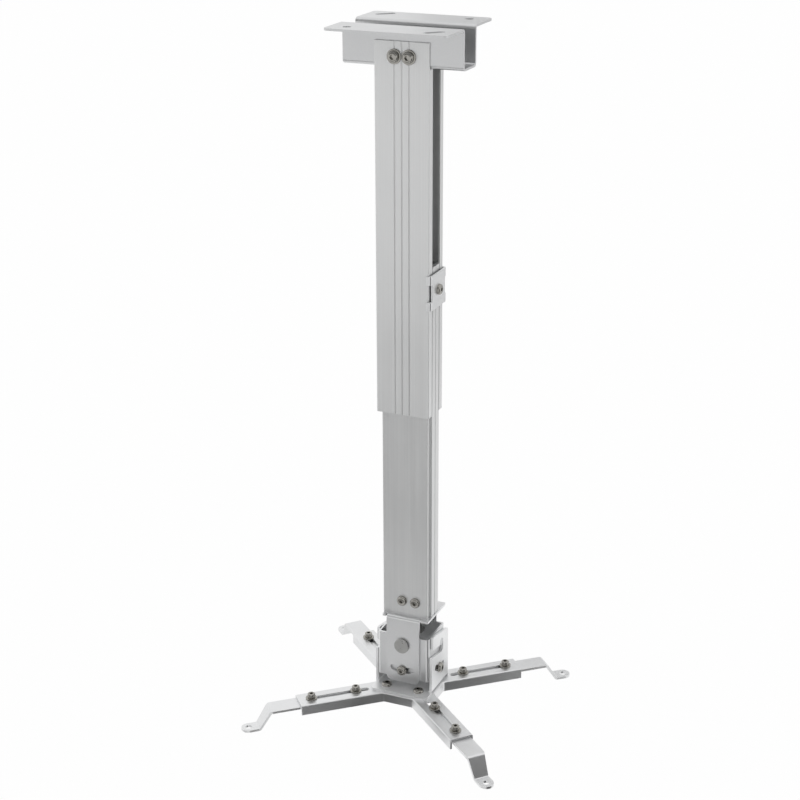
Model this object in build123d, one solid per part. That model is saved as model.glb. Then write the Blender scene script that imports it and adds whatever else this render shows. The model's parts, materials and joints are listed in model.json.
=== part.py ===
from build123d import *
import math
import os

os.makedirs("parts", exist_ok=True)

# Telescopic projector ceiling mount, in millimetres.
# The origin is the centre of the face that meets the ceiling. +Z points up, +X runs along the
# ceiling channel and +Y points to the back, so everything hangs below Z = 0.

# Ceiling bracket: a hat section, open to the ceiling
BRACKET_LENGTH = 106.0
BRACKET_DEPTH = 101.0
BRACKET_SHEET = 2.0
BRACKET_BEND = 1.6
BRACKET_CORNER_RADIUS = 4.0
CHANNEL_DEPTH = 27.2
CHANNEL_HEIGHT = 33.7
CEILING_HOLE_SPACING = 75.0
CEILING_HOLE_DIAMETER = 7.0
CEILING_SLOT_LENGTH = 18.3
CEILING_SLOT_WIDTH = 6.5

# Outer tube: an extruded profile, open along its right side
OUTER_WIDTH = 48.7
OUTER_FACE_WALL = 1.6
OUTER_SIDE_WALL = 1.6
OUTER_DEPTH = CHANNEL_DEPTH + 2 * OUTER_FACE_WALL
OUTER_TOP = -12.6
OUTER_LENGTH = 320.0
OUTER_CORNER_RADIUS = 1.0
OUTER_SLOT_WIDTH = 16.4
GROOVE_SPACING = 6.5
GROOVE_COUNT = 3
GROOVE_WIDTH = 1.8
GROOVE_DEPTH = 0.6
CEILING_BOLT_SPACING = 12.9
CEILING_BOLT_Z = -24.9

# Inner tube: a closed profile with a rail that runs in the slot of the outer tube
INNER_WIDTH = 42.8
INNER_OFFSET = 1.1
INNER_DEPTH = 26.0
INNER_WALL = 1.8
INNER_LENGTH = 327.3
INNER_OVERLAP = 132.6
INNER_CORNER_RADIUS = 0.8
RAIL_WIDTH = 14.4
RAIL_HEIGHT = 1.8
RAIL_GROOVE_WIDTH = 1.0
RAIL_GROOVE_DEPTH = 0.5

# Height clamp on the right side
CLAMP_SHEET = 1.5
CLAMP_BEND = 0.8
CLAMP_HEIGHT = 30.5
CLAMP_DROP = 20.3
CLAMP_STAND_OFF = 1.15
CLAMP_TAB_HEIGHT = 8.0
CLAMP_TAB_REACH = 2.2
CLAMP_SIDE_GAP = 0.3
CLAMP_WEB_SETBACK = 1.4
PAD_DEPTH = 25.0
PAD_HEIGHT = 22.0
PAD_GAP = 0.1

# Tongue inside the end of the inner tube and the two bolts through it
TONGUE_SHEET = 2.0
TONGUE_BEND = 1.0
TONGUE_HEIGHT = 27.0
TONGUE_WIDTH = 28.0
YOKE_BOLT_SPACING = 12.7
YOKE_BOLT_X = 4.5
YOKE_BOLT_RISE = 14.4

# Tilt joint: the forward tilt axis passes below and behind the sideways tilt axis
PIVOT_DROP = 28.4
PITCH_DROP = 3.6
PITCH_SETBACK = 9.0
ROLL_SLOT_HALF_ANGLE = 20.0
PITCH_SLOT_HALF_ANGLE = 19.0
PITCH_LOCK_LEAN = 12.0
JOINT_GAP = 0.3
LOCK_SLOT_WIDTH = 5.8
LOCK_SCREW_DIAMETER = 5.0

# Yoke: an inverted U under the inner tube
YOKE_SHEET = 2.0
YOKE_BEND = 1.5
YOKE_PLATE_LEFT = 19.6
YOKE_PLATE_RIGHT = 25.2
YOKE_WALL_LEFT = 15.2
YOKE_WALL_RIGHT = 16.6
YOKE_DEPTH = 43.0
YOKE_SETBACK = 3.5
YOKE_WALL_DROP = 37.5
YOKE_CORNER_RADIUS = 5.0
YOKE_EAR_SETBACK = 0.4
YOKE_EAR_RELIEF = 0.8
YOKE_EAR_RADIUS = 1.0
ROLL_LOCK_RADIUS = 25.5
RIVET_DIAMETER = 8.0
RIVET_HEAD_DIAMETER = 14.0
RIVET_HEAD_HEIGHT = 2.0
RIVET_CLEARANCE = 0.05

# Tilt box: a band folded from one strip, between the walls of the yoke
BOX_SHEET = 2.0
BOX_BEND = 1.0
BOX_WIDTH = 50.0
BOX_RISE = 8.9
BOX_DROP = 34.3
BOX_SEAM_X = -15.0
BOX_SEAM_WIDTH = 0.6

# Cradle: a U that hangs on the pins of the tilt box by two hook slots
CRADLE_SHEET = 2.4
CRADLE_BEND = 1.5
CRADLE_BASE_DEPTH = 55.0
CRADLE_BASE_DROP = 44.3
CRADLE_BASE_CHAMFER = 2.5
CRADLE_WALL_FRONT = -14.0
CRADLE_WALL_DEPTH = 38.8
CRADLE_WALL_STEP = 3.2
CRADLE_WALL_RISE_FRONT = 14.0
CRADLE_WALL_RISE_BACK = 7.0
CRADLE_TOP_RADIUS = 2.0
HOOK_SLOT_WIDTH = 7.4
HOOK_DROP = 6.4
HOOK_MOUTH_RISE = 5.6
PITCH_LOCK_RADIUS = 24.2
PIN_CLEARANCE = 0.1
BASE_SCREW_SPACING_X = 31.4
BASE_SCREW_SPACING_Y = 34.0

# Hub: an X shaped pressing with its edges turned down
HUB_SHEET = 2.0
HUB_CORE_WIDTH = 58.0
HUB_CORE_DEPTH = 55.0
HUB_FLANGE = 9.5
HUB_EDGE_RADIUS = 1.5
HUB_CROTCH_RADIUS = 4.0
ARM_ANGLE = 41.7
ARM_WIDTH = 22.4
ARM_REACH = 106.5
ARM_SLOT_WIDTH = 5.2
ARM_SLOT_LENGTH = 53.2
ARM_SLOT_MARGIN = 11.3

# Extension feet: flat bars with a cranked end
FOOT_SHEET = 2.2
FOOT_BEND = 1.5
FOOT_SIDE_GAP = 0.3
FOOT_TOP_GAP = 0.1
FOOT_OVERLAP = 58.3
FOOT_OVERHANG = 28.0
FOOT_CRANK_REACH = 10.5
FOOT_CRANK_DROP = 16.5
FOOT_HOLE_MARGIN = 8.5
FOOT_HOLE_DIAMETER = 6.0
FOOT_PAD_RADIUS = 6.6
FOOT_KNEE_TAPER = 0.9
FOOT_SCREW_MARGINS = (54.3, 12.2)

# Fasteners
M6_DIAMETER = 6.0
M6_HOLE = 6.6
M6_HEAD_DIAMETER = 10.0
M6_HEAD_HEIGHT = 3.4
M6_WASHER_DIAMETER = 12.4
M6_WASHER_HEIGHT = 1.2
M6_NUT_FLATS = 10.0
M6_NUT_HEIGHT = 5.0
M6_SOCKET = 4.0
M5_DIAMETER = 5.0
M5_HOLE = 5.5
M5_HEAD_DIAMETER = 9.5
M5_HEAD_HEIGHT = 2.8
M5_NUT_FLATS = 8.0
M5_NUT_HEIGHT = 4.0
M5_SOCKET = 3.0
M4_DIAMETER = 4.0
M4_HOLE = 4.5
M4_HEAD_DIAMETER = 7.0
M4_HEAD_HEIGHT = 4.0
M4_WASHER_DIAMETER = 10.4
M4_WASHER_HEIGHT = 1.0
M4_NUT_FLATS = 7.0
M4_NUT_HEIGHT = 3.2
M4_SOCKET = 3.0
THREAD_SPARE = 0.15
BOLT_TAIL = 2.0

# Heights and reaches that follow from the sizes above
outer_bottom = OUTER_TOP - OUTER_LENGTH
inner_top = outer_bottom + INNER_OVERLAP
inner_bottom = inner_top - INNER_LENGTH
clamp_z = inner_top - CLAMP_DROP
yoke_bolt_z = inner_bottom + YOKE_BOLT_RISE
pivot_z = inner_bottom - PIVOT_DROP
pitch_z = pivot_z - PITCH_DROP
yoke_wall_bottom = pivot_z - YOKE_WALL_DROP
box_top = pivot_z + BOX_RISE
box_bottom = pivot_z - BOX_DROP
cradle_wall_top_front = pitch_z + CRADLE_WALL_RISE_FRONT
cradle_wall_top_back = pitch_z + CRADLE_WALL_RISE_BACK
base_top = pivot_z - CRADLE_BASE_DROP
arm_slot_end = ARM_REACH - ARM_SLOT_MARGIN
arm_slot_start = arm_slot_end - ARM_SLOT_LENGTH
foot_inner_end = ARM_REACH - FOOT_OVERLAP
foot_knee = ARM_REACH + FOOT_OVERHANG
foot_ankle = foot_knee + FOOT_CRANK_REACH
foot_hole_reach = foot_ankle + FOOT_HOLE_MARGIN
foot_screw_reaches = [ARM_REACH - margin for margin in FOOT_SCREW_MARGINS]

# Directions in which a fastener's head faces
FRONT = (0, -1, 0)
BACK = (0, 1, 0)
LEFT = (-1, 0, 0)
RIGHT = (1, 0, 0)
UP = (0, 0, 1)
DOWN = (0, 0, -1)


def write(node, *solids):
    """Write one node, a single solid or a group of like solids."""
    shape = solids[0] if len(solids) == 1 else Compound(children=list(solids))
    export_step(shape, f"parts/{node}.step")


def place(shape, position, direction):
    """Move a shape built along +Z so that +Z points in the given direction."""
    return Plane(origin=position, z_dir=direction).location * shape


def span(x_range, y_range, z_range):
    """A block between the given limits."""
    lows, highs = zip(x_range, y_range, z_range)
    sizes = [high - low for low, high in zip(lows, highs)]
    middle = [(high + low) / 2 for low, high in zip(lows, highs)]
    return Pos(*middle) * Box(*sizes)


def rod(diameter, low, high):
    """A cylinder on the Z axis between two heights."""
    return Pos(0, 0, (low + high) / 2) * Cylinder(diameter / 2, high - low)


def bore(position, direction, diameter, length):
    """A round hole tool that starts at a point and runs both ways along a direction."""
    return place(rod(diameter, -length, length), position, direction)


def hex_socket(flats, depth, top):
    """A hexagonal recess that opens at the given height."""
    hexagon = RegularPolygon(flats / 2, 6, major_radius=False)
    return Pos(0, 0, top - depth) * extrude(hexagon, amount=depth + 0.1)


def button_screw(diameter, head_diameter, head_height, socket, length):
    """A domed socket screw; its head sits on Z = 0 and its shank runs down."""
    head = rod(head_diameter, 0, head_height)
    head = chamfer(head.edges().group_by(Axis.Z)[-1], head_height * 0.6, head_height * 0.45)
    return head + rod(diameter, -length, 0.5) - hex_socket(socket, head_height * 0.6, head_height)


def cap_screw(diameter, head_diameter, head_height, socket, length):
    """A cylindrical socket screw; its head sits on Z = 0 and its shank runs down."""
    head = rod(head_diameter, 0, head_height)
    head = chamfer(head.edges().group_by(Axis.Z)[-1], 0.5)
    return head + rod(diameter, -length, 0.5) - hex_socket(socket, head_height * 0.6, head_height)


def washer(outer, inner, height):
    """A flat washer that sits on Z = 0."""
    return rod(outer, 0, height) - rod(inner, -1, height + 1)


def hex_nut(flats, height, diameter):
    """A hexagon nut that sits on Z = 0."""
    hexagon = RegularPolygon(flats / 2, 6, major_radius=False)
    return extrude(hexagon, amount=height) - rod(diameter + 2 * THREAD_SPARE, -1, height + 1)


def folded_section(path, thickness, bend):
    """The section of a bent sheet. The path runs along one face and the sheet lies on its left,
    or on its right where the thickness is negative. Every corner gets the inside bend radius."""
    points = [Vector(*point) for point in path]
    runs = [(b - a).normalized() for a, b in zip(points, points[1:])]
    normals = [Vector(-run.Y, run.X) for run in runs]
    shifted = [points[0] + normals[0] * thickness]
    for corner, before, after in zip(points[1:-1], normals, normals[1:]):
        shifted.append(corner + (before + after) * (thickness / (1 + before.dot(after))))
    shifted.append(points[-1] + normals[-1] * thickness)
    section = make_face(Polyline(*points, *reversed(shifted), close=True))
    for index in range(1, len(points) - 1):
        turns_left = runs[index - 1].cross(runs[index]).Z > 0
        sheet_inside = turns_left == (thickness > 0)
        radii = (bend + abs(thickness), bend) if sheet_inside else (bend, bend + abs(thickness))
        for corner, radius in zip((points[index], shifted[index]), radii):
            nearest = section.vertices().sort_by_distance(corner)[0]
            section = fillet(nearest, radius)
    return section


def arc_slot(centre, radius, lean, half_angle):
    """A slot for a lock screw, bent around a tilt axis. It is centred below the axis, or where it
    leans, by that angle to the left."""
    arc = CenterArc(centre, radius, 270 - lean - half_angle, 2 * half_angle)
    return SlotArc(arc, LOCK_SLOT_WIDTH)


# Ceiling bracket
half_length = BRACKET_LENGTH / 2
half_bracket_depth = BRACKET_DEPTH / 2
channel_inside = CHANNEL_DEPTH / 2 - BRACKET_SHEET
channel_floor = BRACKET_SHEET - CHANNEL_HEIGHT
hat_path = [
    (-half_bracket_depth, 0),
    (-channel_inside, 0),
    (-channel_inside, channel_floor),
    (channel_inside, channel_floor),
    (channel_inside, 0),
    (half_bracket_depth, 0),
]
hat_section = folded_section(hat_path, -BRACKET_SHEET, BRACKET_BEND)
bracket = extrude(Plane.YZ * hat_section, amount=half_length, both=True)
outer_edges = bracket.edges().filter_by(Axis.Z).filter_by(lambda e: abs(e.center().Y) > half_bracket_depth - 0.1)
bracket = fillet(outer_edges, BRACKET_CORNER_RADIUS)
hole_at = CEILING_HOLE_SPACING / 2
slot_tool = extrude(SlotOverall(CEILING_SLOT_LENGTH, CEILING_SLOT_WIDTH, rotation=45), amount=10, both=True)
for side in (-1, 1):
    bracket -= bore((side * hole_at, side * hole_at, 0), UP, CEILING_HOLE_DIAMETER, 10)
    bracket -= Pos(-side * hole_at, side * hole_at, 0) * slot_tool
ceiling_bolt_xs = (-CEILING_BOLT_SPACING / 2, CEILING_BOLT_SPACING / 2)
ceiling_bolt_bores = [bore((x, 0, CEILING_BOLT_Z), BACK, M6_HOLE, OUTER_DEPTH) for x in ceiling_bolt_xs]
bracket -= ceiling_bolt_bores
write("ceiling_bracket", bracket)

# Outer tube
outer_front = OUTER_DEPTH / 2
outer_right = OUTER_WIDTH / 2
outer_section = RectangleRounded(OUTER_WIDTH, OUTER_DEPTH, OUTER_CORNER_RADIUS)
outer_section -= Rectangle(OUTER_WIDTH - 2 * OUTER_SIDE_WALL, OUTER_DEPTH - 2 * OUTER_FACE_WALL)
outer_section -= Pos(outer_right, 0) * Rectangle(4 * OUTER_SIDE_WALL, OUTER_SLOT_WIDTH)
groove = make_face(Polyline((-GROOVE_WIDTH / 2, 0), (GROOVE_WIDTH / 2, 0), (0, GROOVE_DEPTH), close=True))
for index in range(GROOVE_COUNT):
    groove_x = (index - (GROOVE_COUNT - 1) / 2) * GROOVE_SPACING
    outer_section -= Pos(groove_x, -outer_front) * groove
    outer_section -= Pos(groove_x, outer_front) * Rot(0, 0, 180) * groove
outer_tube = Pos(0, 0, outer_bottom) * extrude(outer_section, amount=OUTER_TOP - outer_bottom)
notch_half_depth = CHANNEL_DEPTH / 2
outer_tube -= span((-outer_right - 1, outer_right + 1), (-notch_half_depth, notch_half_depth), (-CHANNEL_HEIGHT, 0))
outer_tube -= ceiling_bolt_bores
write("outer_tube", outer_tube)

# Through bolts of the ceiling bracket, washers under heads and nuts
bolt_seat = outer_front + M6_WASHER_HEIGHT
bolt_length = 2 * bolt_seat + M6_NUT_HEIGHT + BOLT_TAIL
ceiling_bolt = button_screw(M6_DIAMETER, M6_HEAD_DIAMETER, M6_HEAD_HEIGHT, M6_SOCKET, bolt_length)
ceiling_washer = washer(M6_WASHER_DIAMETER, M6_HOLE, M6_WASHER_HEIGHT)
ceiling_nut = hex_nut(M6_NUT_FLATS, M6_NUT_HEIGHT, M6_DIAMETER)
write("ceiling_bolts", *[place(ceiling_bolt, (x, -bolt_seat, CEILING_BOLT_Z), FRONT) for x in ceiling_bolt_xs])
front_washers = [place(ceiling_washer, (x, -outer_front, CEILING_BOLT_Z), FRONT) for x in ceiling_bolt_xs]
back_washers = [place(ceiling_washer, (x, outer_front, CEILING_BOLT_Z), BACK) for x in ceiling_bolt_xs]
write("ceiling_washers", *front_washers, *back_washers)
write("ceiling_nuts", *[place(ceiling_nut, (x, bolt_seat, CEILING_BOLT_Z), BACK) for x in ceiling_bolt_xs])

# Inner tube
inner_front = INNER_DEPTH / 2
inner_right = INNER_OFFSET + INNER_WIDTH / 2
rail_face = inner_right + RAIL_HEIGHT
inner_section = RectangleRounded(INNER_WIDTH, INNER_DEPTH, INNER_CORNER_RADIUS)
inner_section -= Rectangle(INNER_WIDTH - 2 * INNER_WALL, INNER_DEPTH - 2 * INNER_WALL)
inner_section = Pos(INNER_OFFSET, 0) * inner_section
rail_root = inner_right - INNER_WALL / 2
inner_section += Pos((rail_root + rail_face) / 2, 0) * Rectangle(rail_face - rail_root, RAIL_WIDTH)
rail_groove = make_face(
    Polyline((0, -RAIL_GROOVE_WIDTH / 2), (-RAIL_GROOVE_DEPTH, 0), (0, RAIL_GROOVE_WIDTH / 2), close=True)
)
inner_section -= Pos(rail_face, 0) * rail_groove
inner_tube = Pos(0, 0, inner_bottom) * extrude(inner_section, amount=inner_top - inner_bottom)
clamp_bore = bore((rail_face, 0, clamp_z), RIGHT, M5_HOLE, 3 * INNER_WALL + RAIL_HEIGHT)
yoke_bolt_xs = (YOKE_BOLT_X - YOKE_BOLT_SPACING / 2, YOKE_BOLT_X + YOKE_BOLT_SPACING / 2)
yoke_bolt_bores = [bore((x, 0, yoke_bolt_z), BACK, M5_HOLE, INNER_DEPTH) for x in yoke_bolt_xs]
inner_tube -= clamp_bore
inner_tube -= yoke_bolt_bores
write("inner_tube", inner_tube)

# Height clamp: a saddle with four tabs that reach round the edges of the outer tube
clamp_inside_x = outer_right + CLAMP_STAND_OFF
clamp_inside_y = outer_front + CLAMP_SIDE_GAP
clamp_tab_x = outer_right - CLAMP_TAB_REACH
clamp_path = [
    (clamp_tab_x, -clamp_inside_y),
    (clamp_inside_x, -clamp_inside_y),
    (clamp_inside_x, clamp_inside_y),
    (clamp_tab_x, clamp_inside_y),
]
clamp_bottom = clamp_z - CLAMP_HEIGHT / 2
clamp_top = clamp_z + CLAMP_HEIGHT / 2
clamp_section = folded_section(clamp_path, -CLAMP_SHEET, CLAMP_BEND)
clamp_plate = Pos(0, 0, clamp_bottom) * extrude(clamp_section, amount=CLAMP_HEIGHT)
web_edge = clamp_inside_y - CLAMP_WEB_SETBACK
window = (clamp_bottom + CLAMP_TAB_HEIGHT, clamp_top - CLAMP_TAB_HEIGHT)
for low, high in ((-outer_front * 2, -web_edge), (web_edge, outer_front * 2)):
    clamp_plate -= span((0, OUTER_WIDTH), (low, high), window)
clamp_plate -= bore((clamp_inside_x, 0, clamp_z), RIGHT, M5_HOLE, 3 * CLAMP_SHEET)
write("clamp_plate", clamp_plate)

pad_inside_x = outer_right + PAD_GAP
pad_heights = (clamp_z - PAD_HEIGHT / 2, clamp_z + PAD_HEIGHT / 2)
clamp_pad = span((pad_inside_x, clamp_inside_x), (-PAD_DEPTH / 2, PAD_DEPTH / 2), pad_heights)
clamp_pad -= bore((clamp_inside_x, 0, clamp_z), RIGHT, M5_HOLE, 3 * CLAMP_STAND_OFF)
write("clamp_pad", clamp_pad)

clamp_face = clamp_inside_x + CLAMP_SHEET
clamp_nut_x = inner_right - INNER_WALL
clamp_screw_length = clamp_face - clamp_nut_x + M5_NUT_HEIGHT + BOLT_TAIL
clamp_screw = button_screw(M5_DIAMETER, M5_HEAD_DIAMETER, M5_HEAD_HEIGHT, M5_SOCKET, clamp_screw_length)
m5_nut = hex_nut(M5_NUT_FLATS, M5_NUT_HEIGHT, M5_DIAMETER)
write("clamp_screw", place(clamp_screw, (clamp_face, 0, clamp_z), RIGHT))
write("clamp_nut", place(m5_nut, (clamp_nut_x, 0, clamp_z), LEFT))

# Tongue: a U that stands on the yoke inside the inner tube
tongue_outside = inner_front - INNER_WALL
tongue_inside = tongue_outside - TONGUE_SHEET
tongue_floor = inner_bottom + TONGUE_SHEET
tongue_top = inner_bottom + TONGUE_HEIGHT
tongue_path = [
    (-tongue_inside, tongue_top),
    (-tongue_inside, tongue_floor),
    (tongue_inside, tongue_floor),
    (tongue_inside, tongue_top),
]
tongue_section = folded_section(tongue_path, -TONGUE_SHEET, TONGUE_BEND)
tongue = Pos(YOKE_BOLT_X, 0, 0) * extrude(Plane.YZ * tongue_section, amount=TONGUE_WIDTH / 2, both=True)
tongue -= yoke_bolt_bores
write("tube_tongue", tongue)

yoke_bolt_length = INNER_DEPTH + M5_NUT_HEIGHT + BOLT_TAIL
yoke_bolt = button_screw(M5_DIAMETER, M5_HEAD_DIAMETER, M5_HEAD_HEIGHT, M5_SOCKET, yoke_bolt_length)
write("yoke_bolts", *[place(yoke_bolt, (x, -inner_front, yoke_bolt_z), FRONT) for x in yoke_bolt_xs])
write("yoke_nuts", *[place(m5_nut, (x, inner_front, yoke_bolt_z), BACK) for x in yoke_bolt_xs])

# Tilt yoke: a strip bent down at the front and back, and a plate with ears beside the bends
yoke_outside = YOKE_DEPTH / 2
yoke_inside = yoke_outside - YOKE_SHEET
yoke_ceiling = inner_bottom - YOKE_SHEET
yoke_path = [
    (-yoke_inside, yoke_wall_bottom),
    (-yoke_inside, yoke_ceiling),
    (yoke_inside, yoke_ceiling),
    (yoke_inside, yoke_wall_bottom),
]
yoke_section = folded_section(yoke_path, YOKE_SHEET, YOKE_BEND)
yoke = extrude(Plane.YZ * yoke_section, amount=YOKE_WALL_LEFT + YOKE_WALL_RIGHT)
yoke = Pos(-YOKE_WALL_LEFT, 0, 0) * yoke
yoke_corners = yoke.edges().filter_by(Axis.Y).group_by(Axis.Z)[0]
yoke = fillet(yoke_corners, YOKE_CORNER_RADIUS)
plate_heights = (yoke_ceiling, inner_bottom)
plate_half_depth = yoke_inside - YOKE_BEND
ear_half_depth = yoke_outside - YOKE_EAR_SETBACK
yoke += span((-YOKE_PLATE_LEFT, YOKE_PLATE_RIGHT), (-plate_half_depth, plate_half_depth), plate_heights)
left_ear = (-YOKE_PLATE_LEFT, -YOKE_WALL_LEFT - YOKE_EAR_RELIEF)
right_ear = (YOKE_WALL_RIGHT + YOKE_EAR_RELIEF, YOKE_PLATE_RIGHT)
for ear_width in (left_ear, right_ear):
    ear = span(ear_width, (-ear_half_depth, ear_half_depth), plate_heights)
    yoke += fillet(ear.edges().filter_by(Axis.Z), YOKE_EAR_RADIUS)
yoke = Pos(0, YOKE_SETBACK, 0) * yoke
roll_slot = arc_slot((0, pivot_z), ROLL_LOCK_RADIUS, 0, ROLL_SLOT_HALF_ANGLE)
yoke -= extrude(Plane.XZ * roll_slot, amount=YOKE_DEPTH, both=True)
yoke -= bore((0, 0, pivot_z), BACK, RIVET_DIAMETER + 2 * RIVET_CLEARANCE, YOKE_DEPTH)
write("tilt_yoke", yoke)

# Tilt box
box_front = yoke_inside - JOINT_GAP
box_right = BOX_WIDTH / 2
box_section = RectangleRounded(BOX_WIDTH, 2 * box_front, BOX_BEND + BOX_SHEET)
box_section -= RectangleRounded(BOX_WIDTH - 2 * BOX_SHEET, 2 * (box_front - BOX_SHEET), BOX_BEND)
box_section -= Pos(BOX_SEAM_X, box_front) * Rectangle(BOX_SEAM_WIDTH, 3 * BOX_SHEET)
tilt_box = Pos(0, YOKE_SETBACK, box_bottom) * extrude(box_section, amount=box_top - box_bottom)
roll_lock_z = pivot_z - ROLL_LOCK_RADIUS
lock_lean = math.radians(PITCH_LOCK_LEAN)
pitch_lock_y = PITCH_SETBACK - PITCH_LOCK_RADIUS * math.sin(lock_lean)
pitch_lock_z = pitch_z - PITCH_LOCK_RADIUS * math.cos(lock_lean)
pin_diameter = HOOK_SLOT_WIDTH - 2 * PIN_CLEARANCE
tilt_box -= bore((0, 0, pivot_z), BACK, RIVET_DIAMETER + 2 * RIVET_CLEARANCE, YOKE_DEPTH)
tilt_box -= bore((0, 0, roll_lock_z), BACK, M5_HOLE, YOKE_DEPTH)
tilt_box -= bore((0, PITCH_SETBACK, pitch_z), RIGHT, pin_diameter + 2 * RIVET_CLEARANCE, BOX_WIDTH)
tilt_box -= bore((0, pitch_lock_y, pitch_lock_z), RIGHT, M5_HOLE, BOX_WIDTH)
write("tilt_box", tilt_box)

# Rivets and lock screws of the sideways tilt, on the front and back walls
rivet_seat = yoke_outside + JOINT_GAP
rivet_grip = rivet_seat - box_front + BOX_SHEET
rivet = rod(RIVET_HEAD_DIAMETER, 0, RIVET_HEAD_HEIGHT)
rivet = fillet(rivet.edges().group_by(Axis.Z)[-1], 0.6)
rivet += rod(RIVET_DIAMETER, -rivet_grip, 0.5)
rivet += rod(RIVET_DIAMETER * 1.5, -rivet_grip - RIVET_HEAD_HEIGHT, -rivet_grip)
roll_lock_length = rivet_grip + M5_NUT_HEIGHT + BOLT_TAIL
roll_lock = button_screw(LOCK_SCREW_DIAMETER, M5_HEAD_DIAMETER, M5_HEAD_HEIGHT, M5_SOCKET, roll_lock_length)
nut_seat = box_front - BOX_SHEET
write(
    "roll_rivets",
    place(rivet, (0, YOKE_SETBACK - rivet_seat, pivot_z), FRONT),
    place(rivet, (0, YOKE_SETBACK + rivet_seat, pivot_z), BACK),
)
write(
    "roll_lock_screws",
    place(roll_lock, (0, YOKE_SETBACK - rivet_seat, roll_lock_z), FRONT),
    place(roll_lock, (0, YOKE_SETBACK + rivet_seat, roll_lock_z), BACK),
)
write(
    "roll_lock_nuts",
    place(m5_nut, (0, YOKE_SETBACK - nut_seat, roll_lock_z), BACK),
    place(m5_nut, (0, YOKE_SETBACK + nut_seat, roll_lock_z), FRONT),
)

# Hook cradle: base plate and two walls, the walls with hook slots that open to the front
cradle_inside = box_right + JOINT_GAP
cradle_outside = cradle_inside + CRADLE_SHEET
wall_back = CRADLE_WALL_FRONT + CRADLE_WALL_DEPTH
wall_step = CRADLE_WALL_FRONT + CRADLE_WALL_STEP
base_half_depth = CRADLE_BASE_DEPTH / 2
base_bottom = base_top - CRADLE_SHEET
cradle_path = [
    (-cradle_inside, cradle_wall_top_front),
    (-cradle_inside, base_top),
    (cradle_inside, base_top),
    (cradle_inside, cradle_wall_top_front),
]
cradle_section = folded_section(cradle_path, -CRADLE_SHEET, CRADLE_BEND)
cradle = extrude(Plane.XZ * cradle_section, amount=CRADLE_WALL_DEPTH, both=True)
hook_corner = (PITCH_SETBACK, pitch_z - HOOK_DROP)
hook_mouth = (CRADLE_WALL_FRONT - HOOK_SLOT_WIDTH, pitch_z - HOOK_DROP + HOOK_MOUTH_RISE)
wall_outline = make_face(
    Polyline(
        (CRADLE_WALL_FRONT, base_top - 10),
        (wall_back, base_top - 10),
        (wall_back, cradle_wall_top_back),
        (wall_step, cradle_wall_top_front),
        (wall_step, hook_mouth[1]),
        (CRADLE_WALL_FRONT, hook_mouth[1]),
        close=True,
    )
)
wall_tips = [v for v in wall_outline.vertices() if v.Y > hook_mouth[1] + 1]
wall_outline = fillet(wall_tips, CRADLE_TOP_RADIUS)
hook_middle = (PITCH_SETBACK, pitch_z - HOOK_DROP / 2)
wall_outline -= SlotCenterPoint(hook_middle, (PITCH_SETBACK, pitch_z), HOOK_SLOT_WIDTH)
mouth_middle = tuple((a + b) / 2 for a, b in zip(hook_corner, hook_mouth))
wall_outline -= SlotCenterPoint(mouth_middle, hook_mouth, HOOK_SLOT_WIDTH)
wall_outline -= arc_slot((PITCH_SETBACK, pitch_z), PITCH_LOCK_RADIUS, PITCH_LOCK_LEAN, PITCH_SLOT_HALF_ANGLE)
cradle &= extrude(Plane.YZ * wall_outline, amount=2 * cradle_outside, both=True)
base = span((-cradle_outside, cradle_outside), (-base_half_depth, base_half_depth), (base_bottom, base_top))
base = chamfer(base.edges().filter_by(Axis.Z), CRADLE_BASE_CHAMFER)
bend_start = cradle_inside - CRADLE_BEND
for low, high in ((bend_start, 2 * cradle_outside), (-2 * cradle_outside, -bend_start)):
    base -= span((low, high), (CRADLE_WALL_FRONT, wall_back), (base_bottom - 1, base_top + 1))
cradle += base
base_screw_points = [
    (x * BASE_SCREW_SPACING_X / 2, y * BASE_SCREW_SPACING_Y / 2) for x in (-1, 1) for y in (-1, 1)
]
base_bores = [bore((x, y, base_top), UP, M5_HOLE, 10) for x, y in base_screw_points]
cradle -= base_bores
write("hook_cradle", cradle)

# Pins and lock screws of the forward tilt, on the left and right walls
pin = rod(pin_diameter, -BOX_SHEET - 0.5, cradle_outside - box_right)
pin += rod(pin_diameter * 1.5, -BOX_SHEET - RIVET_HEAD_HEIGHT, -BOX_SHEET)
write(
    "pitch_pins",
    place(pin, (-box_right, PITCH_SETBACK, pitch_z), LEFT),
    place(pin, (box_right, PITCH_SETBACK, pitch_z), RIGHT),
)
lock_seat = cradle_outside + JOINT_GAP
inside_wall = box_right - BOX_SHEET
pitch_lock_length = lock_seat - inside_wall + M5_NUT_HEIGHT + BOLT_TAIL
pitch_lock = button_screw(LOCK_SCREW_DIAMETER, M5_HEAD_DIAMETER, M5_HEAD_HEIGHT, M5_SOCKET, pitch_lock_length)
write(
    "pitch_lock_screws",
    place(pitch_lock, (-lock_seat, pitch_lock_y, pitch_lock_z), LEFT),
    place(pitch_lock, (lock_seat, pitch_lock_y, pitch_lock_z), RIGHT),
)
write(
    "pitch_lock_nuts",
    place(m5_nut, (-inside_wall, pitch_lock_y, pitch_lock_z), RIGHT),
    place(m5_nut, (inside_wall, pitch_lock_y, pitch_lock_z), LEFT),
)

# Hub
hub_top = base_bottom
arm_half_width = ARM_WIDTH / 2
arm_angles = {
    "front_left": 180 + ARM_ANGLE,
    "front_right": -ARM_ANGLE,
    "back_right": ARM_ANGLE,
    "back_left": 180 - ARM_ANGLE,
}


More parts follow.
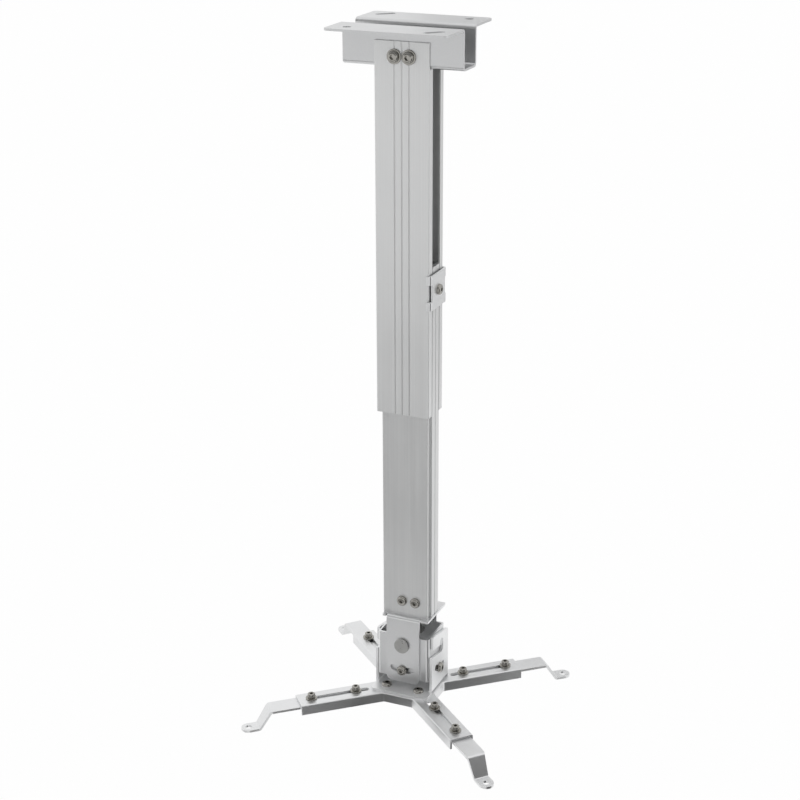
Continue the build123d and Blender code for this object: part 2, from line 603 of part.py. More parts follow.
def hub_outline(inset, overrun):
    """The plan of the hub, drawn in from its edge by the inset and longer by the overrun at the arm ends."""
    core = Rectangle(HUB_CORE_WIDTH - 2 * inset, HUB_CORE_DEPTH - 2 * inset)
    half_width = arm_half_width - inset
    reach = ARM_REACH + overrun
    plan = core
    for angle in arm_angles.values():
        plan += Rot(0, 0, angle) * Pos(reach / 2, 0) * Rectangle(reach, 2 * half_width)
    crotches = [v for v in plan.vertices() if math.hypot(v.X, v.Y) < ARM_REACH / 2]
    return fillet(crotches, HUB_CROTCH_RADIUS)


hub = Pos(0, 0, hub_top - HUB_FLANGE) * extrude(hub_outline(0, 0), amount=HUB_FLANGE)
hub_rim = [e for e in hub.edges().group_by(Axis.Z)[-1] if e.center().Z > hub_top - 0.01]
hub_sides = [e for e in hub_rim if math.hypot(e.center().X, e.center().Y) < ARM_REACH - 1]
hub = fillet(hub_sides, HUB_EDGE_RADIUS)
hub_hollow = extrude(hub_outline(HUB_SHEET, 5), amount=HUB_FLANGE)
hub -= Pos(0, 0, hub_top - HUB_SHEET - HUB_FLANGE) * hub_hollow
slot_middle = (arm_slot_start + arm_slot_end) / 2
arm_slot = SlotCenterToCenter(arm_slot_end - arm_slot_start, ARM_SLOT_WIDTH)
for angle in arm_angles.values():
    hub -= Rot(0, 0, angle) * Pos(slot_middle, 0, hub_top) * extrude(arm_slot, amount=2 * HUB_SHEET, both=True)
hub -= base_bores
write("hub", hub)

base_screw_length = CRADLE_SHEET + HUB_SHEET + M5_NUT_HEIGHT + BOLT_TAIL / 2
base_screw = button_screw(M5_DIAMETER, M5_HEAD_DIAMETER, M5_HEAD_HEIGHT, M5_SOCKET, base_screw_length)
hub_underside = hub_top - HUB_SHEET
write("base_screws", *[place(base_screw, (x, y, base_top), UP) for x, y in base_screw_points])
write("base_nuts", *[place(m5_nut, (x, y, hub_underside), DOWN) for x, y in base_screw_points])

# Extension feet, drawn along +X and then turned to each arm
bar_top = hub_underside - FOOT_TOP_GAP
pad_top = bar_top - FOOT_CRANK_DROP
bar_half_width = arm_half_width - HUB_SHEET - FOOT_SIDE_GAP
foot_tip = foot_hole_reach + FOOT_PAD_RADIUS
foot_path = [
    (foot_inner_end, bar_top),
    (foot_knee, bar_top),
    (foot_ankle, pad_top),
    (foot_tip, pad_top),
]
foot_section = folded_section(foot_path, -FOOT_SHEET, FOOT_BEND)
knee_half_width = bar_half_width - FOOT_KNEE_TAPER
foot_plan = make_face(
    Polyline(
        (foot_inner_end, -bar_half_width),
        (foot_knee - 2 * FOOT_KNEE_TAPER, -bar_half_width),
        (foot_knee, -knee_half_width),
        (foot_ankle, -FOOT_PAD_RADIUS),
        (foot_hole_reach, -FOOT_PAD_RADIUS),
        (foot_hole_reach, FOOT_PAD_RADIUS),
        (foot_ankle, FOOT_PAD_RADIUS),
        (foot_knee, knee_half_width),
        (foot_knee - 2 * FOOT_KNEE_TAPER, bar_half_width),
        (foot_inner_end, bar_half_width),
        close=True,
    )
)
foot_plan += Pos(foot_hole_reach, 0) * Circle(FOOT_PAD_RADIUS)
foot = extrude(Plane.XZ * foot_section, amount=arm_half_width, both=True)
foot &= Pos(0, 0, pad_top - 10) * extrude(foot_plan, amount=40)
foot -= bore((foot_hole_reach, 0, pad_top), UP, FOOT_HOLE_DIAMETER, 10)
for reach in foot_screw_reaches:
    foot -= bore((reach, 0, bar_top), UP, M4_HOLE, 10)
bar_bottom = bar_top - FOOT_SHEET
foot_screw_length = hub_top + M4_WASHER_HEIGHT - bar_bottom + M4_NUT_HEIGHT + BOLT_TAIL / 2
foot_screw = cap_screw(M4_DIAMETER, M4_HEAD_DIAMETER, M4_HEAD_HEIGHT, M4_SOCKET, foot_screw_length)
foot_washer = washer(M4_WASHER_DIAMETER, M4_HOLE, M4_WASHER_HEIGHT)
foot_nut = hex_nut(M4_NUT_FLATS, M4_NUT_HEIGHT, M4_DIAMETER)
washer_seat = hub_top + FOOT_TOP_GAP
for corner, angle in arm_angles.items():
    turn = Rot(0, 0, angle)
    heads = [turn * Pos(reach, 0, washer_seat + M4_WASHER_HEIGHT) * foot_screw for reach in foot_screw_reaches]
    washers = [turn * Pos(reach, 0, washer_seat) * foot_washer for reach in foot_screw_reaches]
    nuts = [turn * place(foot_nut, (reach, 0, bar_bottom), DOWN) for reach in foot_screw_reaches]
    write(f"foot_{corner}", turn * foot)
    write(f"foot_screws_{corner}", *heads)
    write(f"foot_washers_{corner}", *washers)
    write(f"foot_nuts_{corner}", *nuts)
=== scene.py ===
import json
import math

import bmesh
import bpy
from mathutils import Euler, Matrix, Vector

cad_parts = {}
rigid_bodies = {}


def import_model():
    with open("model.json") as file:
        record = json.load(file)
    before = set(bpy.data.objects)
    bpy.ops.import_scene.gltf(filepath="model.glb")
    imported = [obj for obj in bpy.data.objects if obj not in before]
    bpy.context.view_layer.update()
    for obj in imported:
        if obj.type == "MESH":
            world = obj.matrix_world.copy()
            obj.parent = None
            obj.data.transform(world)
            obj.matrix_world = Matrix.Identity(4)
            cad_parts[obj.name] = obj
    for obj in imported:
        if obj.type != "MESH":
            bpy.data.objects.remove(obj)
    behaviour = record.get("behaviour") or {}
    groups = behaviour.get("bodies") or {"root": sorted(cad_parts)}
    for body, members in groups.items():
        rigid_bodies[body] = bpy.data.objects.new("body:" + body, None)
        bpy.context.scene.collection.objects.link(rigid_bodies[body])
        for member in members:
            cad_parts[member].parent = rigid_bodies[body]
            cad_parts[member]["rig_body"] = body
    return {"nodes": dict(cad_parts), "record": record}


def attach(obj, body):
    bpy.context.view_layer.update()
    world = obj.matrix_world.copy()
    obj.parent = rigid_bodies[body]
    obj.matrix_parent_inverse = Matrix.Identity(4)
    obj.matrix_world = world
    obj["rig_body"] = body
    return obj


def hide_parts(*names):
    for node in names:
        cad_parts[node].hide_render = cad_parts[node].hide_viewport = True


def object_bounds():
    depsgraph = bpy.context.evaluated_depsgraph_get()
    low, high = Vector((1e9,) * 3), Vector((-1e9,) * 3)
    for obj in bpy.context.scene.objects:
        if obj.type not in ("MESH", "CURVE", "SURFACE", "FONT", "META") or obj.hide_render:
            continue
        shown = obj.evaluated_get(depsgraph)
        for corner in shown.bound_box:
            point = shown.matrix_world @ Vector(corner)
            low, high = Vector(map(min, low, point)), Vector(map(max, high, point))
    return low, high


bl_info = {
    "name": "Projector Ceiling Mount",
    "version": (1, 0, 0),
    "blender": (4, 5, 0),
    "location": "View3D > Sidebar > Ceiling Mount",
    "description": "Finishes a telescopic projector ceiling mount and sets up its studio",
    "category": "Object",
}

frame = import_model()
cad_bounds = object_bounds()

MM = 0.001
CORNERS = ("front_left", "front_right", "back_right", "back_left")

# Points closer than this are one point, and faces within this angle are one flat
WELD_DISTANCE = 1e-6
FLAT_ANGLE = math.radians(0.5)

# Edges sharper than this are rounded or stay hard
SHEET_SHARP_ANGLE = math.radians(30)
FASTENER_SHARP_ANGLE = math.radians(32)
EDGE_SEGMENTS = 2

# The ways in which the fasteners of one node face
FRONT = (0, -1, 0)
BACK = (0, 1, 0)
LEFT = (-1, 0, 0)
RIGHT = (1, 0, 0)
UP = (0, 0, 1)
DOWN = (0, 0, -1)
OUTWARDS = "outwards"
INWARDS = "inwards"

# Thread diameters, and the sockets, nuts and washers that go with them
M4 = 4.0 * MM
M5 = 5.0 * MM
M6 = 6.0 * MM
M4_SOCKET = 3.0 * MM
M5_SOCKET = 3.0 * MM
M6_SOCKET = 4.0 * MM
M4_NUT_FLATS = 7.0 * MM
M5_NUT_FLATS = 8.0 * MM
M6_NUT_FLATS = 10.0 * MM
M4_WASHER_HOLE = 4.5 * MM
M6_WASHER_HOLE = 6.6 * MM

# The rim's share of a screw head's height, the crown's share of its width and the socket's of its height
BUTTON_RIM = 0.22
BUTTON_CROWN = 0.56
CAP_RIM = 0.84
CAP_CROWN = 0.86
SOCKET_DEPTH = 0.6

# Depth of a thread in pitches, and radius of a nut's turned face in flats
THREAD_DEPTH = 0.6
NUT_FACE = 0.485

# How finely the fasteners are divided
HEXAGON = 6
HEAD_RINGS = 14
NUT_RINGS = 13
TURNED_SIDES = 32
HOLE_SIDES = 24
THREAD_SIDES = 24
THREAD_ROWS_PER_TURN = 6.0
WASHER_SIDES = 48
WASHER_EDGE_POINTS = 3

# Most of a noise texture lies between these two values
NOISE_LOW = 0.3
NOISE_HIGH = 0.7

# The floor reaches this far to each side, and shows this share of plain white
FLOOR_REACH = 16.0
FLOOR_GLOW = 0.85

SENSOR_WIDTH = 36.0
CLIP_START = 0.01


class MountSizes(bpy.types.PropertyGroup):
    """Sizes of the finish and of the fasteners."""

    sheet_edge: bpy.props.FloatProperty(
        name="Sheet edge", description="Rounding of the edges of the coated sheet pieces",
        default=0.45 * MM, min=0, unit="LENGTH", precision=5)
    tube_edge: bpy.props.FloatProperty(
        name="Tube edge", description="Rounding of the sawn and extruded edges of the tubes",
        default=0.4 * MM, min=0, unit="LENGTH", precision=5)
    pin_edge: bpy.props.FloatProperty(
        name="Pin edge", description="Rounding of the edges of the rivets, the pins and the pad",
        default=0.25 * MM, min=0, unit="LENGTH", precision=5)
    washer_edge: bpy.props.FloatProperty(
        name="Washer edge", description="Rounding of the stamped edges of the washers",
        default=0.2 * MM, min=0, unit="LENGTH", precision=5)
    m4_pitch: bpy.props.FloatProperty(
        name="M4 pitch", description="Thread pitch of the M4 screws",
        default=0.7 * MM, unit="LENGTH", precision=5)
    m5_pitch: bpy.props.FloatProperty(
        name="M5 pitch", description="Thread pitch of the M5 screws",
        default=0.8 * MM, unit="LENGTH", precision=5)
    m6_pitch: bpy.props.FloatProperty(
        name="M6 pitch", description="Thread pitch of the M6 bolts",
        default=1.0 * MM, unit="LENGTH", precision=5)
    m4_head: bpy.props.FloatProperty(
        name="M4 head", description="Height of the M4 cap heads",
        default=4.0 * MM, unit="LENGTH", precision=5)
    m5_head: bpy.props.FloatProperty(
        name="M5 head", description="Height of the M5 button heads",
        default=2.8 * MM, unit="LENGTH", precision=5)
    m6_head: bpy.props.FloatProperty(
        name="M6 head", description="Height of the M6 button heads",
        default=3.4 * MM, unit="LENGTH", precision=5)


class MountColours(bpy.types.PropertyGroup):
    """Colours of the finishes."""

    coat: bpy.props.FloatVectorProperty(
        name="Coat", description="Silver coat of the sheet pieces", subtype="COLOR",
        default=(0.78, 0.785, 0.79))
    # A darker copy of the silver coat, which paints shade onto the ceiling bracket's walls
    bracket_coat_painted_shade: bpy.props.FloatVectorProperty(
        name="Bracket coat", description="Greyer coat of the ceiling bracket", subtype="COLOR",
        default=(0.64, 0.645, 0.65))
    # A paler, less metallic copy of the silver coat, which paints light onto the hook cradle's walls and
    # base
    cradle_coat_painted_light: bpy.props.FloatVectorProperty(
        name="Cradle coat", description="Paler coat of the hook cradle", subtype="COLOR",
        default=(0.84, 0.845, 0.85))
    outer_metal: bpy.props.FloatVectorProperty(
        name="Outer metal", description="Satin metal of the outer tube", subtype="COLOR",
        default=(0.70, 0.705, 0.705))
    inner_metal: bpy.props.FloatVectorProperty(
        name="Inner metal", description="Barer metal of the inner tube", subtype="COLOR",
        default=(0.70, 0.705, 0.705))
    # Nickel plate darkened well below its own colour: painted dark reflections and shade in the screw
    # heads and washers
    nickel_painted_dark: bpy.props.FloatVectorProperty(
        name="Nickel", description="Bright plate of the screws", subtype="COLOR",
        default=(0.36, 0.35, 0.325))
    rivet_steel: bpy.props.FloatVectorProperty(
        name="Rivet steel", description="Bare steel of the rivet heads", subtype="COLOR",
        default=(0.45, 0.45, 0.44))
    zinc: bpy.props.FloatVectorProperty(
        name="Zinc", description="Plate of nuts and washers", subtype="COLOR",
        default=(0.60, 0.61, 0.62))
    rubber: bpy.props.FloatVectorProperty(
        name="Rubber", description="Friction pad of the height clamp", subtype="COLOR",
        default=(0.02, 0.02, 0.022))
    floor: bpy.props.FloatVectorProperty(
        name="Floor", description="Pale floor of the studio", subtype="COLOR",
        default=(0.95, 0.95, 0.95))


class MountStudio(bpy.types.PropertyGroup):
    """Camera and light of the studio."""

    camera_place: bpy.props.FloatVectorProperty(
        name="Camera place", description="Where the camera stands", subtype="TRANSLATION", unit="LENGTH",
        default=(0.56544, -1.31712, 0.21864))
    camera_yaw: bpy.props.FloatProperty(
        name="Yaw", description="Turn of the camera about the vertical", subtype="ANGLE",
        default=math.radians(23.564))
    camera_pitch: bpy.props.FloatProperty(
        name="Pitch", description="Tilt of the camera from level", subtype="ANGLE",
        default=math.radians(-20.738))
    camera_roll: bpy.props.FloatProperty(
        name="Roll", description="Turn of the camera about its line of sight", subtype="ANGLE",
        default=math.radians(-0.193))
    focal_length: bpy.props.FloatProperty(
        name="Focal length", description="Focal length in millimetres on a 36 mm sensor", default=79.415)
    floor_drop: bpy.props.FloatProperty(
        name="Floor drop", description="Depth of the floor below the lowest point of the mount",
        default=0.5, unit="LENGTH")
    # The card tones set how dark the reflections are that the cards paint into the metal
    front_card_tone: bpy.props.FloatProperty(
        name="Front card tone", description="How much light the card before the mount gives back",
        default=0.38, min=0, max=1)
    back_card_tone: bpy.props.FloatProperty(
        name="Back card tone", description="How much light the card behind the mount gives back",
        default=0.78, min=0, max=1)
    upper_card_tone: bpy.props.FloatProperty(
        name="Upper card tone", description="How much light the card above the camera gives back",
        default=0.34, min=0, max=1)
    dark_card_tone: bpy.props.FloatProperty(
        name="Dark card tone", description="How much light the dark cards give back",
        default=0.08, min=0, max=1)


def add_node(tree, kind, inputs=None, **settings):
    """Add a node. Inputs map a socket's name or number to a value or to another node's output."""
    node = tree.nodes.new(kind)
    for setting, value in settings.items():
        setattr(node, setting, value)
    for key, value in (inputs or {}).items():
        if isinstance(value, bpy.types.NodeSocket):
            tree.links.new(value, node.inputs[key])
        else:
            node.inputs[key].default_value = value
    return node


def calc(tree, operation, *values):
    """The output of one Math node."""
    return add_node(tree, "ShaderNodeMath", dict(enumerate(values)), operation=operation).outputs[0]


def remap(tree, value, from_low, from_high, to_low, to_high):
    """The output of one Map Range node."""
    inputs = {
        "Value": value, "From Min": from_low, "From Max": from_high,
        "To Min": to_low, "To Max": to_high,
    }
    return add_node(tree, "ShaderNodeMapRange", inputs).outputs[0]


# Finishes


def start_finish(name):
    """A new material, its Principled shader and its object coordinates."""
    material = bpy.data.materials.new(name)
    material.use_nodes = True
    tree = material.node_tree
    shader = tree.nodes["Principled BSDF"]
    place = add_node(tree, "ShaderNodeTexCoord").outputs["Object"]
    return material, tree, shader, place


def grain(tree, place, scale, detail=2.0, stretch=(1, 1, 1)):
    """Noise from 0 to 1 whose scale counts features per metre."""
    mapped = add_node(tree, "ShaderNodeMapping", {"Vector": place, "Scale": stretch}).outputs[0]
    inputs = {"Vector": mapped, "Scale": scale, "Detail": detail, "Roughness": 0.55}
    return add_node(tree, "ShaderNodeTexNoise", inputs).outputs[0]


def spread(tree, noise, low, high):
    """Noise stretched over the range from low to high."""
    return remap(tree, noise, NOISE_LOW, NOISE_HIGH, low, high)


def tinted(tree, colour, shade):
    """A colour multiplied by a shade that varies over the surface."""
    scale = add_node(tree, "ShaderNodeVectorMath", {0: colour, "Scale": shade}, operation="SCALE")
    return scale.outputs[0]


def edge_mask(tree, width):
    """1 along the edges of a piece and 0 on its faces."""
    rounded = add_node(tree, "ShaderNodeBevel", {"Radius": width}, samples=4).outputs[0]
    flat = add_node(tree, "ShaderNodeNewGeometry").outputs["Normal"]
    both = {0: rounded, 1: flat}
    likeness = add_node(tree, "ShaderNodeVectorMath", both, operation="DOT_PRODUCT").outputs["Value"]
    return remap(tree, likeness, from_low=0.995, from_high=0.85, to_low=0.0, to_high=1.0)


def bumped(tree, shader, height, strength, depth):
    """Give the shader a bump from a height field."""
    bump = add_node(tree, "ShaderNodeBump", {"Height": height, "Strength": strength, "Distance": depth})
    tree.links.new(bump.outputs[0], shader.inputs["Normal"])


def powder_coat(name, colour, metallic):
    """Satin silver powder coat with a fine orange peel, cloudy tone and edges rubbed bright."""
    material, tree, shader, place = start_finish(name)
    cloud = grain(tree, place, scale=18.0, detail=3.0)
    fleck = grain(tree, place, scale=1600.0)
    peel = grain(tree, place, scale=620.0)
    edge = edge_mask(tree, width=0.5 * MM)
    cloud_tone = spread(tree, cloud, low=0.96, high=1.03)
    fleck_tone = spread(tree, fleck, low=-0.035, high=0.035)
    tone = calc(tree, "ADD", cloud_tone, fleck_tone)
    worn = calc(tree, "MULTIPLY_ADD", edge, 0.10, tone)
    tree.links.new(tinted(tree, colour, worn), shader.inputs["Base Color"])
    rough = calc(tree, "MULTIPLY_ADD", cloud, 0.08, spread(tree, fleck, low=0.27, high=0.34))
    tree.links.new(calc(tree, "MULTIPLY_ADD", edge, -0.06, rough), shader.inputs["Roughness"])
    shader.inputs["Metallic"].default_value = metallic
    bumped(tree, shader, peel, strength=0.10, depth=0.05 * MM)
    return material


def anodised_aluminium(name, colour, metallic):
    """Satin anodised extrusion with fine die lines along the tube and sawn edges left bright."""
    material, tree, shader, place = start_finish(name)
    cloud = grain(tree, place, scale=9.0, detail=3.0)
    die_lines = grain(tree, place, scale=900.0, detail=3.0, stretch=(1, 1, 0.006))
    edge = edge_mask(tree, width=0.35 * MM)
    cloud_tone = spread(tree, cloud, low=0.97, high=1.03)
    line_tone = spread(tree, die_lines, low=-0.03, high=0.03)
    tone = calc(tree, "ADD", cloud_tone, line_tone)
    worn = calc(tree, "MULTIPLY_ADD", edge, 0.12, tone)
    tree.links.new(tinted(tree, colour, worn), shader.inputs["Base Color"])
    rough = calc(tree, "MULTIPLY_ADD", cloud, 0.06, spread(tree, die_lines, low=0.32, high=0.42))
    tree.links.new(rough, shader.inputs["Roughness"])
    shader.inputs["Metallic"].default_value = metallic
    bumped(tree, shader, die_lines, strength=0.12, depth=0.03 * MM)
    return material


def plated_steel(name, colour, smooth, dull):
    """Plated steel: blotchy roughness, faint scratches and brighter edges."""
    material, tree, shader, place = start_finish(name)
    blotch = grain(tree, place, scale=260.0, detail=3.0)
    scratch = grain(tree, place, scale=900.0, stretch=(0.15, 1, 1))
    edge = edge_mask(tree, width=0.2 * MM)
    tone = calc(tree, "MULTIPLY_ADD", edge, 0.10, spread(tree, blotch, low=0.92, high=1.05))
    tree.links.new(tinted(tree, colour, tone), shader.inputs["Base Color"])
    scuffs = remap(tree, scratch, from_low=0.4, from_high=0.7, to_low=0.0, to_high=0.04)
    rough = calc(tree, "ADD", spread(tree, blotch, smooth, dull), scuffs)
    tree.links.new(rough, shader.inputs["Roughness"])
    shader.inputs["Metallic"].default_value = 1.0
    bumped(tree, shader, scratch, strength=0.08, depth=0.01 * MM)
    return material


def black_rubber(colour):
    """Matt black rubber with a moulded grain and grey bloom."""
    material, tree, shader, place = start_finish("black_rubber")
    bloom = grain(tree, place, scale=120.0, detail=3.0)
    pores = grain(tree, place, scale=2200.0)
    edge = edge_mask(tree, width=0.3 * MM)
    tone = calc(tree, "MULTIPLY_ADD", edge, 0.4, spread(tree, bloom, low=0.8, high=1.5))
    tree.links.new(tinted(tree, colour, tone), shader.inputs["Base Color"])
    tree.links.new(spread(tree, pores, low=0.68, high=0.85), shader.inputs["Roughness"])
    bumped(tree, shader, pores, strength=0.25, depth=0.04 * MM)
    return material


# Nodes with a finish of their own, which differs from the finish of their slot; the ceiling bracket's is a
# darker copy of the silver coat (painted shade), and the hook cradle's is a paler one (painted light)
OWN_FINISHES = ("ceiling_bracket", "hook_cradle", "outer_tube", "inner_tube", "roll_rivets")
made_finishes = {}


def finish_of(name):
    """The material of one slot of the record, or of a node with its own finish, made once."""
    colours = bpy.context.scene.mount_colours
    makers = {
        "painted_steel": lambda: powder_coat("silver_coat", colours.coat[:], metallic=0.95),
        # The bracket's coat is the silver coat darkened: painted shade
        "ceiling_bracket": lambda: powder_coat("bracket_coat_painted_shade", colours.bracket_coat_painted_shade[:], metallic=0.95),
        # The cradle's coat is the silver coat made paler: painted light
        "hook_cradle": lambda: powder_coat("cradle_coat_painted_light", colours.cradle_coat_painted_light[:], metallic=0.6),
        "outer_tube": lambda: anodised_aluminium("outer_anodised", colours.outer_metal[:], metallic=0.7),
        "inner_tube": lambda: anodised_aluminium("inner_anodised", colours.inner_metal[:], metallic=0.9),
        # The screw plate is darkened to paint the dark reflections and shade in the heads and washers
        "screw_plate": lambda: plated_steel("screw_plate_painted_dark", colours.nickel_painted_dark[:], smooth=0.12, dull=0.24),
        "roll_rivets": lambda: plated_steel("rivet_steel", colours.rivet_steel[:], smooth=0.26, dull=0.34),
        "zinc_steel": lambda: plated_steel("zinc_plate", colours.zinc[:], smooth=0.24, dull=0.36),
        "rubber": lambda: black_rubber(colours.rubber[:]),
    }
    if name not in made_finishes:
        made_finishes[name] = makers[name]()
    return made_finishes[name]


# Pieces that follow the solids of the frame


def node_body(node):
    """The body that carries a node of the frame."""
    return frame["nodes"][node]["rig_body"]


def node_slot(node):
    """The material slot that the record gives to a node."""
    rows = {row["node"]: row["material_slot"] for row in frame["record"]["subparts"]}
    return rows[node]


def welded(node):
    """A mesh editor on a copy of a node with its loose triangles joined."""
    editor = bmesh.new()
    editor.from_mesh(frame["nodes"][node].data)
    bmesh.ops.remove_doubles(editor, verts=editor.verts, dist=WELD_DISTANCE)
    return editor


def solid_boxes(node):
    """The lowest and highest corner of each separate solid of a node, in a fixed order."""
    editor = welded(node)
    left = set(editor.verts)
    boxes = []
    while left:
        patch = [left.pop()]
        points = []
        while patch:
            vertex = patch.pop()
            points.append(vertex.co.copy())
            for edge in vertex.link_edges:
                other = edge.other_vert(vertex)
                if other in left:
                    left.remove(other)
                    patch.append(other)
        low = Vector([min(point[axis] for point in points) for axis in range(3)])
        high = Vector([max(point[axis] for point in points) for axis in range(3)])
        boxes.append((low, high))
    editor.free()
    return sorted(boxes, key=lambda box: [round(value, 5) for value in box[0]])


def new_piece(name, mesh):
    """An object at the origin that holds a mesh."""
    piece = bpy.data.objects.new(name, mesh)
    bpy.context.scene.collection.objects.link(piece)
    return piece


def flatten(piece):
    """Turn the evaluated piece into a plain mesh and take its modifiers off."""
    shown = piece.evaluated_get(bpy.context.evaluated_depsgraph_get())
    mesh = bpy.data.meshes.new_from_object(shown)
    piece.modifiers.clear()
    piece.data = mesh
    mesh.name = piece.name


def join_frame(piece, node):
    """Let the piece ride and stand for one node of the frame."""
    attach(piece, node_body(node))
    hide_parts(node)


def eased_piece(node, edge):
    """A copy of a node with its sharp edges rounded and its flats shaded flat."""
    editor = welded(node)
    bmesh.ops.dissolve_limit(editor, angle_limit=FLAT_ANGLE, verts=editor.verts, edges=editor.edges)
    mesh = bpy.data.meshes.new(f"{node}_finish")
    editor.to_mesh(mesh)
    editor.free()
    mesh.shade_smooth()
    mesh.set_sharp_from_angle(angle=SHEET_SHARP_ANGLE)
    slot = node_slot(node)
    mesh.materials.append(finish_of(node if node in OWN_FINISHES else slot))
    piece = new_piece(f"{node}_finish", mesh)
    bevel = piece.modifiers.new("eased_edges", "BEVEL")
    bevel.width = edge
    bevel.segments = EDGE_SEGMENTS
    bevel.limit_method = "ANGLE"
    bevel.angle_limit = SHEET_SHARP_ANGLE
    bevel.miter_outer = "MITER_ARC"
    piece.modifiers.new("flat_faces", "WEIGHTED_NORMAL").keep_sharp = True
    flatten(piece)
    join_frame(piece, node)
    return piece


# Fasteners, made by geometry nodes on points taken from the frame


def start_tree(name, sizes):
    """A geometry tree with one length input for each named size, a seed and a material."""
    tree = bpy.data.node_groups.new(name, "GeometryNodeTree")
    interface = tree.interface
    interface.new_socket("Geometry", in_out="INPUT", socket_type="NodeSocketGeometry")
    for size in sizes:
        socket = interface.new_socket(size, in_out="INPUT", socket_type="NodeSocketFloat")
        socket.subtype = "DISTANCE"
    interface.new_socket("Seed", in_out="INPUT", socket_type="NodeSocketInt")
    interface.new_socket("Material", in_out="INPUT", socket_type="NodeSocketMaterial")
    interface.new_socket("Geometry", in_out="OUTPUT", socket_type="NodeSocketGeometry")
    given = add_node(tree, "NodeGroupInput").outputs
    return tree, given


def on_axis(tree, height):
    """A point on the Z axis."""
    return add_node(tree, "ShaderNodeCombineXYZ", {"Z": height}).outputs[0]


def turned(tree, low, high, rings, radius_at):
    """A turned body on the Z axis; its radius follows the share of the way from low to high."""
    ends = {"Start": on_axis(tree, low), "End": on_axis(tree, high)}
    line = add_node(tree, "GeometryNodeCurvePrimitiveLine", ends).outputs[0]
    line = add_node(tree, "GeometryNodeResampleCurve", {"Curve": line, "Count": rings}).outputs[0]
    share = add_node(tree, "GeometryNodeSplineParameter").outputs["Factor"]
    unit_circle = {"Resolution": TURNED_SIDES, "Radius": 1.0}
    circle = add_node(tree, "GeometryNodeCurvePrimitiveCircle", unit_circle).outputs[0]
    sweep = {"Curve": line, "Profile Curve": circle, "Scale": radius_at(share), "Fill Caps": True}
    return add_node(tree, "GeometryNodeCurveToMesh", sweep).outputs[0]


def prism(tree, corners, radius, depth, middle):
    """An upright prism or cylinder with its middle at a height on the Z axis."""
    inputs = {"Vertices": corners, "Radius": radius, "Depth": depth}
    body = add_node(tree, "GeometryNodeMeshCylinder", inputs).outputs["Mesh"]
    inputs = {"Geometry": body, "Translation": on_axis(tree, middle)}
    return add_node(tree, "GeometryNodeTransform", inputs).outputs[0]


def cut(tree, body, tool):
    """A body with a tool taken out of it."""
    node = add_node(tree, "GeometryNodeMeshBoolean", operation="DIFFERENCE", solver="EXACT")
    tree.links.new(body, node.inputs["Mesh 1"])
    tree.links.new(tool, node.inputs["Mesh 2"])
    return node.outputs["Mesh"]


def threaded_rod(tree, diameter, pitch, top, bottom):
    """A rod on the Z axis with a helical thread that runs out at both ends."""
    length = calc(tree, "SUBTRACT", top, bottom)
    turns = calc(tree, "DIVIDE", length, pitch)
    rows = calc(tree, "MULTIPLY", turns, THREAD_ROWS_PER_TURN)
    size = {"Size X": 1.0, "Size Y": 1.0, "Vertices X": THREAD_SIDES + 1, "Vertices Y": rows}
    sheet = add_node(tree, "GeometryNodeMeshGrid", size).outputs["Mesh"]
    place = add_node(tree, "GeometryNodeInputPosition").outputs[0]
    place = add_node(tree, "ShaderNodeSeparateXYZ", {0: place}).outputs
    turn = calc(tree, "ADD", place["X"], 0.5)
    share = calc(tree, "ADD", place["Y"], 0.5)
    height = calc(tree, "MULTIPLY_ADD", share, calc(tree, "MULTIPLY", length, -1.0), top)
    ridge = calc(tree, "PINGPONG", calc(tree, "ADD", calc(tree, "DIVIDE", height, pitch), turn), 0.5)
    to_end = calc(tree, "MULTIPLY", calc(tree, "PINGPONG", share, 0.5), turns)
    fade = calc(tree, "MINIMUM", to_end, 1.0)
    depth = calc(tree, "MULTIPLY", pitch, THREAD_DEPTH)
    core = calc(tree, "SUBTRACT", calc(tree, "MULTIPLY", diameter, 0.5), depth)
    swell = calc(tree, "MULTIPLY", calc(tree, "MULTIPLY", ridge, fade), calc(tree, "MULTIPLY", depth, 2.0))
    radius = calc(tree, "ADD", core, swell)
    angle = calc(tree, "MULTIPLY", turn, 2 * math.pi)
    across = calc(tree, "MULTIPLY", radius, calc(tree, "COSINE", angle))
    along = calc(tree, "MULTIPLY", radius, calc(tree, "SINE", angle))
    wrapped = add_node(tree, "ShaderNodeCombineXYZ", {"X": across, "Y": along, "Z": height}).outputs[0]
    rod = add_node(tree, "GeometryNodeSetPosition", {"Geometry": sheet, "Position": wrapped}).outputs[0]
    parts = [rod]
    for end in (top, bottom):
        rim = {"Vertices": THREAD_SIDES, "Radius": core}
        disc = add_node(tree, "GeometryNodeMeshCircle", rim, fill_type="NGON").outputs[0]
        moved = {"Geometry": disc, "Translation": on_axis(tree, end)}
        parts.append(add_node(tree, "GeometryNodeTransform", moved).outputs[0])
    joined = add_node(tree, "GeometryNodeJoinGeometry")
    for part in reversed(parts):
        tree.links.new(part, joined.inputs[0])
    merge = {"Geometry": joined.outputs[0], "Distance": WELD_DISTANCE}
    return add_node(tree, "GeometryNodeMergeByDistance", merge).outputs[0]


